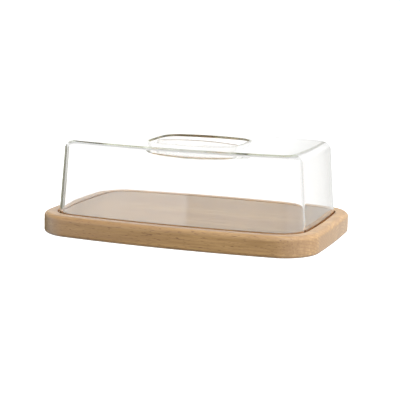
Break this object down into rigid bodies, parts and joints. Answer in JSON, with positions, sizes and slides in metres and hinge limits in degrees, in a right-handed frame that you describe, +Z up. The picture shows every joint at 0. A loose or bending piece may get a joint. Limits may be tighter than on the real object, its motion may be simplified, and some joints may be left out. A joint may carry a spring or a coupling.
{
  "type": "butter dish",
  "caption": "Low wooden board with bowed sides and a rim groove, and a clear lift-off cover with a recessed finger grip in its top, to keep a block of butter under.",
  "frame": {"origin": "middle of the board's flat underside, on the surface that the dish stands on", "axes": "+X along the board's length, +Y towards the rear long side, +Z up, the way the cover lifts"},
  "size_m": [0.195, 0.1312, 0.0628],
  "materials": {
    "board_wood": "oiled beech, satin",
    "cover_clear": "clear acrylic, polished"
  },
  "bodies": {
    "board": {"stave_front": "board_wood", "stave_middle": "board_wood", "stave_rear": "board_wood"},
    "cover": {"cover": "cover_clear"}
  },
  "joints": [
    {"name": "cover_lift", "type": "slide", "parent": "board", "child": "cover", "axis": [0, 0, 1], "range_m": [0, 0.06]}
  ]
}
